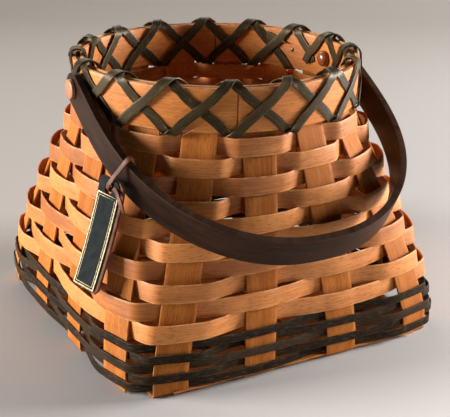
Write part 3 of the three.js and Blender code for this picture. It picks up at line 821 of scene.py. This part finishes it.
# Pegs and knobs: a turned peg with a low button goes through each end of the handle and both hoops and
# ends in a polished knob inside the rim. The buttons are left pale, the knobs are red-brown and glossy.
handle_out = bail_half + handle_thick / 2
peg_radius = 0.0035
button_radius = 0.0075
button_gap = 0.0004
knob_radius = 0.0065
knob_gap = 0.0004
knob_grip = 0.0025
knob_bore = peg_radius + 0.00015
knob_chord = math.sqrt(inner_hoop_in**2 - knob_radius**2)
knob_foot = knob_chord * math.cos(math.pi / hoop_sides) - knob_gap
shank_end = knob_foot - knob_grip
button_in = handle_out + button_gap


def turned_piece(name, profile, side):
    """A lathe-turned body on the line of the pegs, from radius and distance pairs."""
    bpy.ops.object.select_all(action="DESELECT")
    rings = len(profile) - 1
    bpy.ops.mesh.primitive_uv_sphere_add(segments=48, ring_count=rings, radius=1)
    piece = bpy.context.object
    piece.name = name
    for point in piece.data.vertices:
        ring = round(math.acos(max(-1, min(1, point.co.z))) / math.pi * rings)
        angle = math.atan2(point.co.y, point.co.x)
        radius, along = profile[ring]
        across = radius * math.cos(angle)
        point.co = (side * along, across, pivot_height + radius * math.sin(angle))
    bpy.ops.object.mode_set(mode="EDIT")
    bpy.ops.mesh.select_all(action="SELECT")
    bpy.ops.mesh.normals_make_consistent(inside=False)
    bpy.ops.object.mode_set(mode="OBJECT")
    bpy.ops.object.shade_smooth_by_angle(angle=math.radians(35))
    return piece


def turned_finish(name, pale, deep, rough, coat):
    """Turned wood: rings and fibres along the peg under a thin finish."""
    look = bpy.data.materials.new(name)
    look.use_nodes = True
    nodes = look.node_tree.nodes
    links = look.node_tree.links
    shader = nodes["Principled BSDF"]
    place = nodes.new("ShaderNodeTexCoord")
    stretch = nodes.new("ShaderNodeMapping")
    stretch.inputs["Scale"].default_value = (60, 700, 260)
    grain = nodes.new("ShaderNodeTexNoise")
    grain.inputs["Scale"].default_value = 1
    grain.inputs["Detail"].default_value = 5
    ramp = nodes.new("ShaderNodeValToRGB")
    ramp.color_ramp.elements[0].position = 0.3
    ramp.color_ramp.elements[0].color = (*deep, 1)
    ramp.color_ramp.elements[1].position = 0.7
    ramp.color_ramp.elements[1].color = (*pale, 1)
    relief = nodes.new("ShaderNodeBump")
    relief.inputs["Strength"].default_value = 0.2
    relief.inputs["Distance"].default_value = 0.0002
    links.new(place.outputs["Object"], stretch.inputs["Vector"])
    links.new(stretch.outputs["Vector"], grain.inputs["Vector"])
    links.new(grain.outputs["Fac"], ramp.inputs["Fac"])
    links.new(grain.outputs["Fac"], relief.inputs["Height"])
    links.new(ramp.outputs["Color"], shader.inputs["Base Color"])
    links.new(relief.outputs["Normal"], shader.inputs["Normal"])
    shader.inputs["Roughness"].default_value = rough
    shader.inputs["Coat Weight"].default_value = coat
    shader.inputs["Coat Roughness"].default_value = 0.15
    return look


peg_finish = turned_finish("peg_wood", (0.48, 0.205, 0.090), (0.32, 0.125, 0.052), 0.5, 0.1)
knob_finish = turned_finish("knob_wood", (0.36, 0.10, 0.035), (0.20, 0.045, 0.014), 0.3, 0.7)
peg_profile = [
    (0, shank_end),
    (peg_radius - 0.0004, shank_end),
    (peg_radius, shank_end + 0.0004),
    (peg_radius, button_in),
    (0.0072, button_in),
    (button_radius, button_in + 0.0003),
    (button_radius, button_in + 0.0019),
    (0.0072, button_in + 0.0026),
    (0.0062, button_in + 0.0031),
    (0.0035, button_in + 0.0034),
    (0, button_in + 0.0034),
]
knob_profile = [
    (0, shank_end - 0.0003),
    (knob_bore, shank_end - 0.0003),
    (knob_bore, knob_foot),
    (0.0062, knob_foot),
    (knob_radius, knob_foot - 0.0004),
    (knob_radius, knob_foot - 0.0014),
    (0.0062, knob_foot - 0.0026),
    (0.0053, knob_foot - 0.0040),
    (0.0037, knob_foot - 0.0050),
    (0.0018, knob_foot - 0.0054),
    (0, knob_foot - 0.0055),
]
for name, side in (("right", 1), ("left", -1)):
    peg = turned_piece(f"peg_{name}", peg_profile, side)
    peg.data.materials.append(peg_finish)
    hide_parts(f"pivot_peg_{name}")
    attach(peg, "basket")
    knob = turned_piece(f"knob_{name}", knob_profile, side)
    knob.data.materials.append(knob_finish)
    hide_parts(f"peg_knob_{name}")
    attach(knob, "basket")


# Tag: a slip of thick brown leather with a nearly black face glued on and a plain gold border stamped
# round it. It hangs outside the handle and lies against the left wall.
tag_length = 0.082
tag_width = 0.026
tag_thick = 0.003
tag_lean = math.radians(17)
tag_yaw = math.radians(12)
tag_hole = Vector((-0.12199, -0.07650, 0.13881))
tag_inset = 0.008
tag_bore = 0.0039
tag_stand = 0.0006
tag_turn = tag_yaw + math.radians(7)
tag_aside = Vector((-math.cos(tag_turn), -math.sin(tag_turn), 0))
tag_roll = math.radians(4.5)
tag_level = -turn_left(tag_aside)
tag_out = tag_aside * math.cos(tag_lean) + Vector((0, 0, math.sin(tag_lean)))
tag_drop = tag_aside * math.sin(tag_lean) - Vector((0, 0, math.cos(tag_lean)))
tag_down = tag_drop * math.cos(tag_roll) + tag_level * math.sin(tag_roll)
tag_across = tag_level * math.cos(tag_roll) - tag_drop * math.sin(tag_roll)
tag_shift = -0.0015
hide_thick = 0.0022
hide_lift = -0.0004
face_shift = -0.0004
face_width = 0.0225
face_thick = 0.0009
face_lift = 0.0012
face_top = 0.0005 - tag_inset
tag_bottom = tag_length - tag_inset
face_bottom = tag_bottom - 0.0008


def leather_finish(name, pale, deep, rough, gloss):
    """Leather: a fine pebbled grain, uneven dye and small creases."""
    look = bpy.data.materials.new(name)
    look.use_nodes = True
    nodes = look.node_tree.nodes
    links = look.node_tree.links
    shader = nodes["Principled BSDF"]
    place = nodes.new("ShaderNodeUVMap")
    place.uv_map = "UVMap"
    pebble = nodes.new("ShaderNodeTexVoronoi")
    pebble.inputs["Scale"].default_value = 1400
    dye = nodes.new("ShaderNodeTexNoise")
    dye.inputs["Scale"].default_value = 160
    dye.inputs["Detail"].default_value = 6
    ramp = nodes.new("ShaderNodeValToRGB")
    ramp.color_ramp.elements[0].position = 0.32
    ramp.color_ramp.elements[0].color = (*deep, 1)
    ramp.color_ramp.elements[1].position = 0.68
    ramp.color_ramp.elements[1].color = (*pale, 1)
    relief = nodes.new("ShaderNodeBump")
    relief.inputs["Strength"].default_value = 0.3
    relief.inputs["Distance"].default_value = 0.0002
    for texture in (pebble, dye):
        links.new(place.outputs["UV"], texture.inputs["Vector"])
    links.new(dye.outputs["Fac"], ramp.inputs["Fac"])
    links.new(ramp.outputs["Color"], shader.inputs["Base Color"])
    links.new(pebble.outputs["Distance"], relief.inputs["Height"])
    links.new(relief.outputs["Normal"], shader.inputs["Normal"])
    shader.inputs["Roughness"].default_value = rough
    shader.inputs["Specular IOR Level"].default_value = gloss
    return look


def on_tag(down, across, lift):
    """A point of the tag from its hole; its ends curl a little and its top front corner stands out."""
    curl = 0.9 * (down - 0.030) ** 2
    curl += 16 * max(0.0, 0.006 - down) ** 2 * (0.5 - across / tag_width)
    return tag_hole + tag_down * down + tag_across * across + tag_out * (lift + curl + tag_stand)


def slip_stations(top, bottom, middle, width, lift, corner):
    """Stations down a slip of leather whose corners are cut off."""
    stations = []
    steps = 26
    for step in range(steps + 1):
        down = top + (bottom - top) * step / steps
        near_end = min(down - top, bottom - down)
        cut = corner * (1 - min(1.0, near_end / corner))
        half = width / 2 - cut
        back_edge = on_tag(down, middle + half, lift)
        front_edge = on_tag(down, middle - half, lift)
        stations.append(((back_edge + front_edge) / 2, back_edge - front_edge))
    return stations


hide_finish = leather_finish("tag_leather", (0.20, 0.068, 0.028), (0.085, 0.028, 0.013), 0.6, 0.2)
face_finish = leather_finish("tag_face", (0.020, 0.025, 0.024), (0.009, 0.012, 0.012), 0.7, 0.05)
stations = slip_stations(-tag_inset, tag_bottom, tag_shift, tag_width, hide_lift, 0.0025)
tag = lay_splint("tag_hide", stations, 4, hide_thick, 0.0005)
tag.data.materials.append(hide_finish)
stations = slip_stations(face_top, face_bottom, face_shift, face_width, face_lift, 0.0016)
face = lay_splint("tag_face", stations, 4, face_thick, 0.0003)
face.data.materials.append(face_finish)
for piece in (tag, face):
    bpy.ops.object.select_all(action="DESELECT")
    bpy.ops.mesh.primitive_cylinder_add(
        vertices=32, radius=tag_bore, depth=0.02, location=tag_hole)
    punch = bpy.context.object
    punch.data.transform(tag_out.to_track_quat("Z", "Y").to_matrix().to_4x4())
    cut_away(piece, punch)
    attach(piece, "hang_tag")

gold_finish = bpy.data.materials.new("gold_foil")
gold_finish.use_nodes = True
gold_nodes = gold_finish.node_tree.nodes
gold_shader = gold_nodes["Principled BSDF"]
gold_shader.inputs["Metallic"].default_value = 0.25
gold_place = gold_nodes.new("ShaderNodeTexCoord")
gold_wear = gold_nodes.new("ShaderNodeTexNoise")
gold_wear.inputs["Scale"].default_value = 700
gold_ramp = gold_nodes.new("ShaderNodeValToRGB")
gold_ramp.color_ramp.elements[0].position = 0.35
gold_ramp.color_ramp.elements[0].color = (0.30, 0.235, 0.11, 1)
gold_ramp.color_ramp.elements[1].position = 0.6
gold_ramp.color_ramp.elements[1].color = (0.60, 0.50, 0.27, 1)
gold_rough = gold_nodes.new("ShaderNodeMapRange")
gold_rough.inputs["To Min"].default_value = 0.75
gold_rough.inputs["To Max"].default_value = 0.55
gold_links = gold_finish.node_tree.links
gold_links.new(gold_place.outputs["Object"], gold_wear.inputs["Vector"])
gold_links.new(gold_wear.outputs["Fac"], gold_ramp.inputs["Fac"])
gold_links.new(gold_wear.outputs["Fac"], gold_rough.inputs["Value"])
gold_links.new(gold_ramp.outputs["Color"], gold_shader.inputs["Base Color"])
gold_links.new(gold_rough.outputs["Result"], gold_shader.inputs["Roughness"])
tag_pieces = [tag, face]
border_top = 0.0031
border_lift = 0.0017
border_steps = 12
for name, inset, line in (("tag_border", 0.0012, 0.0011), ("tag_border_inner", 0.0030, 0.0004)):
    top = border_top + inset
    bottom = face_bottom - inset
    half = face_width / 2 - inset
    sides = []
    for step in range(border_steps + 1):
        sides.append((top + (bottom - top) * step / border_steps, 1))
    for step in range(border_steps + 1):
        sides.append((bottom - (bottom - top) * step / border_steps, -1))
    stations = []
    for down, way in sides + sides[:1]:
        corner = down in (top, bottom)
        lengthwise = (1 if down == bottom else -1) if corner else 0
        spread = tag_across * way + tag_down * lengthwise
        stations.append((on_tag(down, face_shift + way * half, border_lift), spread * line))
    border = lay_splint(name, stations, 1, 0.0002, 0.00004)
    border.data.materials.append(gold_finish)
    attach(border, "hang_tag")
    tag_pieces.append(border)
for piece in tag_pieces:
    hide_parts("tag")


# Thong: one red-brown leather lace, looped round the handle and through the hole of the tag, with its
# end left hanging beside the tag.
thong_width = 0.0032
thong_thick = 0.0015
thong_gap = 0.0004
end_thick = 0.0013
hang_turn = math.radians(154.5)
before = bail_point(hang_turn - 0.01)
after = bail_point(hang_turn + 0.01)
hang_run = (after - before).normalized()
hang_out = hang_run.cross(bail_up).normalized()
hang_out = hang_out if hang_out.x < 0 else -hang_out
hang_middle = bail_point(hang_turn)
lace_across = hang_out.cross(bail_up).normalized()
lace_off = thong_gap + thong_thick / 2
band_out = handle_thick / 2 + lace_off
band_up = handle_width / 2 + lace_off
hole_out = (tag_hole - hang_middle).dot(hang_out)
hole_up = (tag_hole - hang_middle).dot(bail_up)
past_tag = tag_thick / 2 + lace_off
curl_room = 0.0037
thong_finish = leather_finish("thong_leather", (0.19, 0.060, 0.026), (0.075, 0.024, 0.011), 0.5, 0.2)


def on_face(side, up):
    """How far out the lace lies in front of or behind the tag, at a height over its hole."""
    return hole_out + (side * past_tag - up * bail_up.dot(tag_out)) / hang_out.dot(tag_out)


lace = [
    (0.0010 - band_out, band_up + 0.0020),
    (0.0000, band_up + 0.0042),
    (band_out - 0.0010, band_up + 0.0025),
    (band_out + 0.0015, band_up - 0.0025),
    (on_face(1, 0.012) + curl_room, hole_up + 0.012),
    (on_face(1, 0.004) + curl_room, hole_up + 0.004),
    (on_face(1, 0.0005), hole_up + 0.0002),
    (on_face(-1, -0.0005), hole_up - 0.0005),
    (band_out - 0.0005, -band_up - 0.0005),
    (0.0005 - band_out, -band_up),
    (-band_out, 0.0005 - band_up),
    (-band_out, band_up - 0.0005),
]
for rounding in range(3):
    eased = []
    for (x0, z0), (x1, z1) in zip(lace, lace[1:] + lace[:1]):
        eased.append((x0 * 0.75 + x1 * 0.25, z0 * 0.75 + z1 * 0.25))
        eased.append((x0 * 0.25 + x1 * 0.75, z0 * 0.25 + z1 * 0.75))
    lace = eased
stations = []
for x, z in lace + lace[:1]:
    stations.append((hang_middle + hang_out * x + bail_up * z, lace_across * thong_width))
thong = lay_splint("thong_loop", stations, 3, thong_thick, 0.0004)
end_steps = 24
stations = []
for step in range(end_steps + 1):
    share = step / end_steps
    place = tag_hole + tag_out * (0.0032 + 0.0035 * math.sin(share * 2.6))
    place -= tag_across * (0.0034 + 0.0185 * share**0.7)
    place += tag_down * (0.0125 * share**1.8 - 0.002)
    run = (tag_down * (0.2 + share) - tag_across * (1.2 - 0.5 * share)).normalized()
    width = thong_width * (1 if share < 0.8 else 1 - 2.5 * (share - 0.8))
    stations.append((place, run.cross(tag_out).normalized() * width))
thong_end = lay_splint("thong_end", stations, 3, end_thick, 0.0003)
for piece, body in ((thong, "bail"), (thong_end, "hang_tag")):
    piece.data.materials.append(thong_finish)
    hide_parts("thong")
    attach(piece, body)
